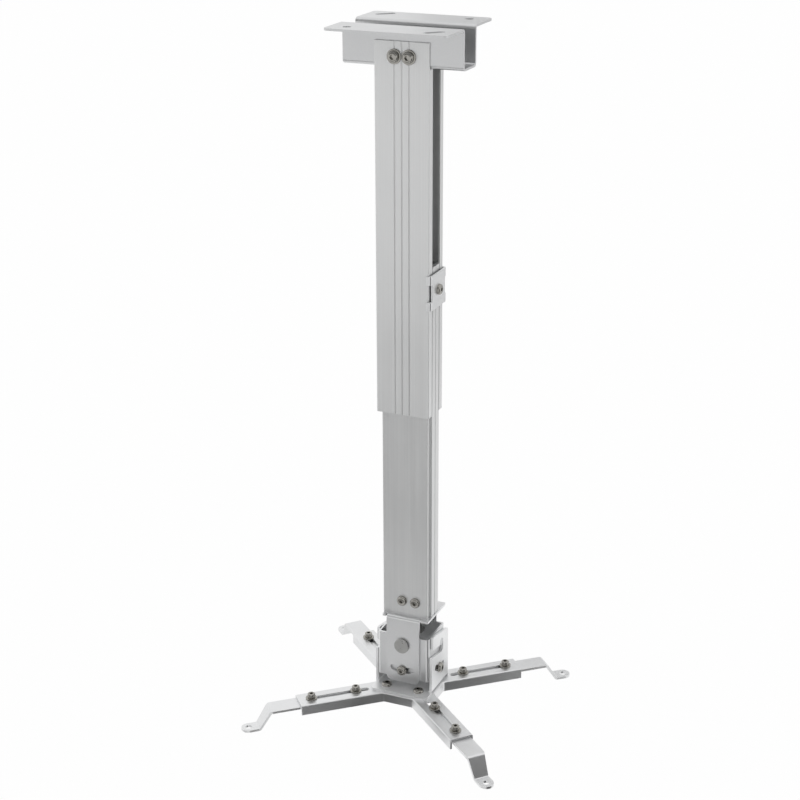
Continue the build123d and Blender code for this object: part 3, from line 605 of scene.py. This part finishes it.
def end_tree(tree, given, bodies):
    """Put the bodies on every point, along its axis and turned by chance, and finish the tree."""
    joined = add_node(tree, "GeometryNodeJoinGeometry")
    for body in bodies:
        tree.links.new(body, joined.inputs[0])
    axis = add_node(tree, "GeometryNodeInputNamedAttribute", {"Name": "axis"}, data_type="FLOAT_VECTOR")
    aligned = add_node(tree, "FunctionNodeAlignRotationToVector", {"Vector": axis.outputs[0]}, axis="Z")
    chance = add_node(tree, "FunctionNodeRandomValue", {2: 0.0, 3: 2 * math.pi, "Seed": given["Seed"]})
    spin = add_node(tree, "FunctionNodeAxisAngleToRotation", {"Axis": UP, "Angle": chance.outputs[1]})
    both = {"Rotation": aligned.outputs[0], "Rotate By": spin.outputs[0]}
    rotation = add_node(tree, "FunctionNodeRotateRotation", both, rotation_space="LOCAL").outputs[0]
    inputs = {"Points": given["Geometry"], "Instance": joined.outputs[0], "Rotation": rotation}
    placed = add_node(tree, "GeometryNodeInstanceOnPoints", inputs).outputs[0]
    real = add_node(tree, "GeometryNodeRealizeInstances", {"Geometry": placed}).outputs[0]
    inputs = {"Geometry": real, "Material": given["Material"]}
    painted = add_node(tree, "GeometryNodeSetMaterial", inputs).outputs[0]
    add_node(tree, "NodeGroupOutput", {"Geometry": painted})
    return tree


SCREW_SIZES = (
    "Head Diameter", "Head Height", "Rim", "Crown", "Socket Flats", "Socket Depth",
    "Shank Diameter", "Length", "Thread Pitch",
)


def screw_tree():
    """Socket screws with the top of their head on the point, a domed head and a threaded shank."""
    tree, given = start_tree("socket_screws", SCREW_SIZES)

    def head_radius(share):
        rise = calc(tree, "SUBTRACT", share, given["Rim"])
        rise = calc(tree, "DIVIDE", rise, calc(tree, "SUBTRACT", 1.0, given["Rim"]))
        rise = calc(tree, "MAXIMUM", rise, 0.0)
        dome = calc(tree, "SQRT", calc(tree, "SUBTRACT", 1.0, calc(tree, "POWER", rise, 2.0)))
        dome = calc(tree, "MULTIPLY", dome, calc(tree, "SUBTRACT", 1.0, given["Crown"]))
        width = calc(tree, "ADD", given["Crown"], dome)
        return calc(tree, "MULTIPLY", width, calc(tree, "MULTIPLY", given["Head Diameter"], 0.5))

    seat = calc(tree, "MULTIPLY", given["Head Height"], -1.0)
    head = turned(tree, seat, 0.0, HEAD_RINGS, head_radius)
    socket_radius = calc(tree, "DIVIDE", given["Socket Flats"], math.sqrt(3))
    socket_length = calc(tree, "MULTIPLY", given["Socket Depth"], 2.0)
    socket = prism(tree, HEXAGON, socket_radius, socket_length, 0.0)
    tail = calc(tree, "MULTIPLY", given["Length"], -1.0)
    rod = threaded_rod(tree, given["Shank Diameter"], given["Thread Pitch"], seat, tail)
    return end_tree(tree, given, [cut(tree, head, socket), rod])


NUT_SIZES = ("Flats", "Height", "Hole Diameter")


def nut_tree():
    """Hexagon nuts with their outer face on the point and the corners of both faces turned off."""
    tree, given = start_tree("hexagon_nuts", NUT_SIZES)
    corner_radius = calc(tree, "DIVIDE", given["Flats"], math.sqrt(3))
    middle = calc(tree, "MULTIPLY", given["Height"], -0.5)
    blank = prism(tree, HEXAGON, corner_radius, given["Height"], middle)

    def chamfer_radius(share):
        to_face = calc(tree, "MULTIPLY", calc(tree, "PINGPONG", share, 0.5), given["Height"])
        wider = calc(tree, "MULTIPLY", to_face, math.sqrt(3))
        return calc(tree, "MULTIPLY_ADD", given["Flats"], NUT_FACE, wider)

    bottom = calc(tree, "MULTIPLY", given["Height"], -1.0)
    turning = turned(tree, bottom, 0.0, NUT_RINGS, chamfer_radius)
    shaped = add_node(tree, "GeometryNodeMeshBoolean", operation="INTERSECT", solver="EXACT")
    tree.links.new(turning, shaped.inputs["Mesh 2"])
    tree.links.new(blank, shaped.inputs["Mesh 2"])
    hole_radius = calc(tree, "MULTIPLY", given["Hole Diameter"], 0.5)
    hole_length = calc(tree, "MULTIPLY", given["Height"], 3.0)
    hole = prism(tree, HOLE_SIDES, hole_radius, hole_length, middle)
    return end_tree(tree, given, [cut(tree, shaped.outputs["Mesh"], hole)])


WASHER_SIZES = ("Outer Diameter", "Hole Diameter", "Height", "Edge Radius")


def washer_tree():
    """Flat washers with their outer face on the point and stamped edges."""
    tree, given = start_tree("flat_washers", WASHER_SIZES)
    wall = calc(tree, "SUBTRACT", given["Outer Diameter"], given["Hole Diameter"])
    wall = calc(tree, "MULTIPLY", wall, 0.5)
    section = {"Width": wall, "Height": given["Height"]}
    section = add_node(tree, "GeometryNodeCurvePrimitiveQuadrilateral", section).outputs[0]
    rounding = {
        "Curve": section, "Radius": given["Edge Radius"],
        "Count": WASHER_EDGE_POINTS, "Limit Radius": True,
    }
    section = add_node(tree, "GeometryNodeFilletCurve", rounding, mode="POLY").outputs[0]
    middle = calc(tree, "ADD", given["Outer Diameter"], given["Hole Diameter"])
    ring = {"Resolution": WASHER_SIDES, "Radius": calc(tree, "MULTIPLY", middle, 0.25)}
    ring = add_node(tree, "GeometryNodeCurvePrimitiveCircle", ring).outputs[0]
    sweep = {"Curve": ring, "Profile Curve": section}
    body = add_node(tree, "GeometryNodeCurveToMesh", sweep).outputs[0]
    lift = on_axis(tree, calc(tree, "MULTIPLY", given["Height"], -0.5))
    body = add_node(tree, "GeometryNodeTransform", {"Geometry": body, "Translation": lift}).outputs[0]
    return end_tree(tree, given, [body])


def facing(box, direction):
    """The way one fastener faces; outwards and inwards go along the level axis on which it sits."""
    if direction not in (OUTWARDS, INWARDS):
        return Vector(direction)
    middle = (box[0] + box[1]) / 2
    flat = Vector((middle.x, middle.y, 0))
    main = Vector(RIGHT) if abs(flat.x) > abs(flat.y) else Vector(BACK)
    outward = main if flat.dot(main) > 0 else -main
    return outward if direction == OUTWARDS else -outward


def extent(axis, span):
    """The length of a box along one of its own axes."""
    return sum(abs(axis[i]) * span[i] for i in range(3))


def tidy_shading(mesh):
    """Point all faces outwards and keep only the hard edges sharp."""
    editor = bmesh.new()
    editor.from_mesh(mesh)
    bmesh.ops.recalc_face_normals(editor, faces=editor.faces)
    editor.to_mesh(mesh)
    editor.free()
    mesh.shade_smooth()
    mesh.set_sharp_from_angle(angle=FASTENER_SHARP_ANGLE)


def fastener_piece(node, tree, direction, size_of, finish, seed):
    """Fasteners on the outer ends of the solids of one node; sizes come from the first solid's box."""
    boxes = solid_boxes(node)
    axes = [facing(box, direction) for box in boxes]
    points = []
    for (low, high), axis in zip(boxes, axes):
        reach = extent(axis, (high - low) / 2)
        points.append((low + high) / 2 + axis * reach)
    mesh = bpy.data.meshes.new(f"{node}_finish")
    mesh.from_pydata(points, [], [])
    attribute = mesh.attributes.new("axis", "FLOAT_VECTOR", "POINT")
    for row, axis in zip(attribute.data, axes):
        row.vector = axis
    piece = new_piece(f"{node}_finish", mesh)
    modifier = piece.modifiers.new("fasteners", "NODES")
    modifier.node_group = tree
    span = boxes[0][1] - boxes[0][0]
    length = extent(axes[0], span)
    width = max(span[i] for i in range(3) if not axes[0][i])
    values = dict(size_of(width, length), Seed=seed, Material=finish_of(finish))
    for item in tree.interface.items_tree:
        if item.in_out == "INPUT" and item.name in values:
            modifier[item.identifier] = values[item.name]
    flatten(piece)
    tidy_shading(piece.data)
    join_frame(piece, node)
    return piece


def screw_sizes(shank, pitch, head_height, socket, rim=BUTTON_RIM, crown=BUTTON_CROWN):
    """A function that gives the sizes of a socket screw from the width and length of its solid."""
    def sizes(width, length):
        return {
            "Head Diameter": width, "Head Height": head_height, "Rim": rim, "Crown": crown,
            "Socket Flats": socket, "Socket Depth": head_height * SOCKET_DEPTH,
            "Shank Diameter": shank, "Length": length, "Thread Pitch": pitch,
        }
    return sizes


def nut_sizes(flats, hole):
    """A function that gives the sizes of a nut from the length of its solid; the width it is given is not
    used.
    """
    def sizes(width, length):
        return {"Flats": flats, "Height": length, "Hole Diameter": hole}
    return sizes


def washer_sizes(hole, edge):
    """A function that gives the sizes of a washer from the width and length of its solid."""
    def sizes(width, length):
        return {"Outer Diameter": width, "Hole Diameter": hole, "Height": length, "Edge Radius": edge}
    return sizes


# Operators


class PieceOperator:
    """What the operators of the pieces share."""

    bl_options = {"REGISTER", "UNDO"}

    def execute(self, context):
        self.make(context.scene.mount_sizes)
        return {"FINISHED"}


class MOUNT_OT_ceiling_bracket(PieceOperator, bpy.types.Operator):
    """Finish the folded ceiling bracket"""

    bl_idname = "mount.ceiling_bracket"
    bl_label = "Ceiling Bracket"

    def make(self, sizes):
        eased_piece("ceiling_bracket", sizes.sheet_edge)


class MOUNT_OT_tubes(PieceOperator, bpy.types.Operator):
    """Finish the outer and inner tube"""

    bl_idname = "mount.tubes"
    bl_label = "Tubes"

    def make(self, sizes):
        for node in ("outer_tube", "inner_tube"):
            eased_piece(node, sizes.tube_edge)


class MOUNT_OT_height_clamp(PieceOperator, bpy.types.Operator):
    """Finish the saddle and the friction pad of the height clamp"""

    bl_idname = "mount.height_clamp"
    bl_label = "Height Clamp"

    def make(self, sizes):
        eased_piece("clamp_plate", sizes.sheet_edge)
        eased_piece("clamp_pad", sizes.pin_edge)


class MOUNT_OT_tilt_joint(PieceOperator, bpy.types.Operator):
    """Finish the folded pieces of the tilt joint"""

    bl_idname = "mount.tilt_joint"
    bl_label = "Tilt Joint"

    def make(self, sizes):
        for node in ("tube_tongue", "tilt_yoke", "tilt_box", "hook_cradle"):
            eased_piece(node, sizes.sheet_edge)


class MOUNT_OT_pins(PieceOperator, bpy.types.Operator):
    """Finish the rivets and pins of the tilt joint"""

    bl_idname = "mount.pins"
    bl_label = "Rivets and Pins"

    def make(self, sizes):
        for node in ("roll_rivets", "pitch_pins"):
            eased_piece(node, sizes.pin_edge)


class MOUNT_OT_hub(PieceOperator, bpy.types.Operator):
    """Finish the four-armed hub"""

    bl_idname = "mount.hub"
    bl_label = "Hub"

    def make(self, sizes):
        eased_piece("hub", sizes.sheet_edge)


class MOUNT_OT_feet(PieceOperator, bpy.types.Operator):
    """Finish the four cranked feet"""

    bl_idname = "mount.feet"
    bl_label = "Feet"

    def make(self, sizes):
        for corner in CORNERS:
            eased_piece(f"foot_{corner}", sizes.sheet_edge)


class MOUNT_OT_screws(PieceOperator, bpy.types.Operator):
    """Make the socket screws"""

    bl_idname = "mount.screws"
    bl_label = "Screws"

    def make(self, sizes):
        tree = screw_tree()
        m6 = screw_sizes(M6, sizes.m6_pitch, sizes.m6_head, M6_SOCKET)
        m5 = screw_sizes(M5, sizes.m5_pitch, sizes.m5_head, M5_SOCKET)
        m4 = screw_sizes(M4, sizes.m4_pitch, sizes.m4_head, M4_SOCKET, CAP_RIM, CAP_CROWN)
        rows = [
            ("ceiling_bolts", FRONT, m6),
            ("clamp_screw", RIGHT, m5),
            ("yoke_bolts", FRONT, m5),
            ("roll_lock_screws", OUTWARDS, m5),
            ("pitch_lock_screws", OUTWARDS, m5),
            ("base_screws", UP, m5),
        ]
        rows += [(f"foot_screws_{corner}", UP, m4) for corner in CORNERS]
        for seed, (node, direction, size_of) in enumerate(rows):
            fastener_piece(node, tree, direction, size_of, "screw_plate", seed)


class MOUNT_OT_nuts(PieceOperator, bpy.types.Operator):
    """Make the hexagon nuts"""

    bl_idname = "mount.nuts"
    bl_label = "Nuts"

    def make(self, sizes):
        tree = nut_tree()
        m6 = nut_sizes(M6_NUT_FLATS, M6)
        m5 = nut_sizes(M5_NUT_FLATS, M5)
        m4 = nut_sizes(M4_NUT_FLATS, M4)
        rows = [
            ("ceiling_nuts", BACK, m6),
            ("clamp_nut", LEFT, m5),
            ("yoke_nuts", BACK, m5),
            ("roll_lock_nuts", INWARDS, m5),
            ("pitch_lock_nuts", INWARDS, m5),
            ("base_nuts", DOWN, m5),
        ]
        rows += [(f"foot_nuts_{corner}", DOWN, m4) for corner in CORNERS]
        for seed, (node, direction, size_of) in enumerate(rows):
            fastener_piece(node, tree, direction, size_of, "zinc_steel", seed)


class MOUNT_OT_washers(PieceOperator, bpy.types.Operator):
    """Make the flat washers"""

    bl_idname = "mount.washers"
    bl_label = "Washers"

    def make(self, sizes):
        tree = washer_tree()
        m6 = washer_sizes(M6_WASHER_HOLE, sizes.washer_edge)
        m4 = washer_sizes(M4_WASHER_HOLE, sizes.washer_edge)
        rows = [("ceiling_washers", OUTWARDS, m6)]
        rows += [(f"foot_washers_{corner}", UP, m4) for corner in CORNERS]
        for seed, (node, direction, size_of) in enumerate(rows):
            fastener_piece(node, tree, direction, size_of, "screw_plate", seed)


class MOUNT_OT_studio(bpy.types.Operator):
    """Set up the floor, the soft light and the camera"""

    bl_idname = "mount.studio"
    bl_label = "Studio"
    bl_options = {"REGISTER", "UNDO"}

    def execute(self, context):
        studio = context.scene.mount_studio
        low, high = (Vector(corner) for corner in cad_bounds)
        lay_floor(low.z - studio.floor_drop, context.scene.mount_colours.floor[:])
        light_world(context.scene)
        middle = (low + high) / 2
        hub = Vector((middle.x, middle.y, low.z))
        hub_edge = hub + Vector((0, -0.04, 0.01))
        upper_tube = middle + Vector((0.15, 0, 0.22))
        dark = studio.dark_card_tone
        # Every card is seen in the metal only and paints shade there: the front card on the front faces,
        # the upper card on the bends under the tubes, the back card on the tops, and the dark cards on the
        # grooves, the arm flanges, the hub's front edge and the right-hand feet
        # Name, point, side on which the card stands, distance, width and height, tone
        cards = (
            ("front_card", hub, (-0.37, -0.82, -0.42), 1.12, (1.2, 1.0), studio.front_card_tone),
            ("right_card", hub, (0.84, -0.46, 0.3), 0.6, (0.4, 0.6), dark),
            ("groove_card", middle, (0.74, -0.58, -0.34), 1.0, (0.6, 0.9), dark),
            ("arm_card", hub, (0.73, -0.45, -0.51), 0.4, (0.36, 0.3), dark),
            ("hub_card", hub_edge, (-0.38, -0.78, -0.5), 0.02, (0.07, 0.024), dark),
            ("back_card", upper_tube, BACK, 0.5, (0.7, 0.8), studio.back_card_tone),
            ("upper_card", middle, (-0.1, -0.8, 0.6), 1.4, (2.4, 1.2), studio.upper_card_tone),
        )
        for card in cards:
            stand_card(*card)
        set_camera(context.scene, studio)
        context.scene.view_settings.view_transform = "Standard"
        return {"FINISHED"}


def level_sheet(name, half_width, half_depth, height):
    """A flat rectangular mesh at a height, with its middle on the Z axis."""
    corners = [
        (-half_width, -half_depth, height),
        (half_width, -half_depth, height),
        (half_width, half_depth, height),
        (-half_width, half_depth, height),
    ]
    mesh = bpy.data.meshes.new(name)
    mesh.from_pydata(corners, [], [(0, 1, 2, 3)])
    return mesh


def lay_floor(height, colour):
    """A plain pale floor that looks white and still takes a soft shadow."""
    mesh = level_sheet("floor", FLOOR_REACH, FLOOR_REACH, height)
    material = bpy.data.materials.new("pale_floor")
    material.use_nodes = True
    tree = material.node_tree
    matt = tree.nodes["Principled BSDF"]
    matt.inputs["Base Color"].default_value = (*colour, 1)
    matt.inputs["Roughness"].default_value = 0.9
    path = add_node(tree, "ShaderNodeLightPath").outputs
    mirrored = calc(tree, "MAXIMUM", path["Is Glossy Ray"], path["Is Transmission Ray"])
    seen = calc(tree, "MAXIMUM", path["Is Camera Ray"], mirrored)
    share = calc(tree, "MULTIPLY", seen, FLOOR_GLOW)
    glow = add_node(tree, "ShaderNodeEmission", {"Color": (1, 1, 1, 1), "Strength": 1.0}).outputs[0]
    mix = add_node(tree, "ShaderNodeMixShader", {0: share, 1: matt.outputs[0], 2: glow})
    tree.links.new(mix.outputs[0], tree.nodes["Material Output"].inputs["Surface"])
    mesh.materials.append(material)
    new_piece("floor", mesh)


def light_world(scene):
    """Even white light from all sides."""
    world = bpy.data.worlds.new("studio")
    world.use_nodes = True
    scene.world = world
    background = world.node_tree.nodes["Background"]
    background.inputs["Color"].default_value = (1, 1, 1, 1)
    background.inputs["Strength"].default_value = 1.0


def stand_card(name, aim, side, distance, size, tone):
    """A matt card to one side of a point that is seen in the metal only and takes no light away, so its
    tone is a painted reflection; the darker cards paint shade onto the metal faces that mirror them.
    """
    width, height = size
    mesh = level_sheet(name, width / 2, height / 2, 0)
    material = bpy.data.materials.new(name)
    material.use_nodes = True
    shader = material.node_tree.nodes["Principled BSDF"]
    shader.inputs["Base Color"].default_value = (tone, tone, tone, 1)
    shader.inputs["Roughness"].default_value = 1.0
    mesh.materials.append(material)
    card = new_piece(name, mesh)
    way = Vector(side).normalized()
    card.location = aim + way * distance
    card.rotation_euler = way.to_track_quat("Z", "Y").to_euler()
    card.visible_camera = False
    card.visible_diffuse = False
    card.visible_shadow = False


def set_camera(scene, studio):
    """The camera at the angle of the photograph."""
    camera = bpy.data.cameras.new("camera")
    camera.lens = studio.focal_length
    camera.sensor_width = SENSOR_WIDTH
    camera.clip_start = CLIP_START
    holder = bpy.data.objects.new("camera", camera)
    turn = Euler((math.pi / 2 + studio.camera_pitch, 0, studio.camera_yaw)).to_matrix()
    turn = turn @ Matrix.Rotation(studio.camera_roll, 3, "Z")
    holder.matrix_world = Matrix.LocRotScale(Vector(studio.camera_place), turn, None)
    scene.collection.objects.link(holder)
    scene.camera = holder


PIECE_OPERATORS = (
    MOUNT_OT_ceiling_bracket,
    MOUNT_OT_tubes,
    MOUNT_OT_height_clamp,
    MOUNT_OT_tilt_joint,
    MOUNT_OT_pins,
    MOUNT_OT_hub,
    MOUNT_OT_feet,
    MOUNT_OT_screws,
    MOUNT_OT_nuts,
    MOUNT_OT_washers,
    MOUNT_OT_studio,
)


class MOUNT_PT_panel(bpy.types.Panel):
    """The mount's pieces, sizes and colours"""

    bl_idname = "MOUNT_PT_panel"
    bl_label = "Ceiling Mount"
    bl_space_type = "VIEW_3D"
    bl_region_type = "UI"
    bl_category = "Ceiling Mount"

    def draw(self, context):
        layout = self.layout
        for operator in PIECE_OPERATORS:
            layout.operator(operator.bl_idname)
        for group in (context.scene.mount_sizes, context.scene.mount_colours, context.scene.mount_studio):
            box = layout.box()
            for name in group.__annotations__:
                box.prop(group, name)


CLASSES = (MountSizes, MountColours, MountStudio, *PIECE_OPERATORS, MOUNT_PT_panel)


def register():
    """Register the classes and hang the settings on the scene."""
    for item in CLASSES:
        bpy.utils.register_class(item)
    bpy.types.Scene.mount_sizes = bpy.props.PointerProperty(type=MountSizes)
    bpy.types.Scene.mount_colours = bpy.props.PointerProperty(type=MountColours)
    bpy.types.Scene.mount_studio = bpy.props.PointerProperty(type=MountStudio)


def unregister():
    """Take the settings off the scene and unregister the classes."""
    del bpy.types.Scene.mount_studio
    del bpy.types.Scene.mount_colours
    del bpy.types.Scene.mount_sizes
    for item in reversed(CLASSES):
        bpy.utils.unregister_class(item)


def main():
    """Make all pieces and the studio."""
    register()
    for operator in PIECE_OPERATORS:
        group, name = operator.bl_idname.split(".")
        getattr(getattr(bpy.ops, group), name)()
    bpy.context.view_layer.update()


if __name__ == "__main__":
    main()
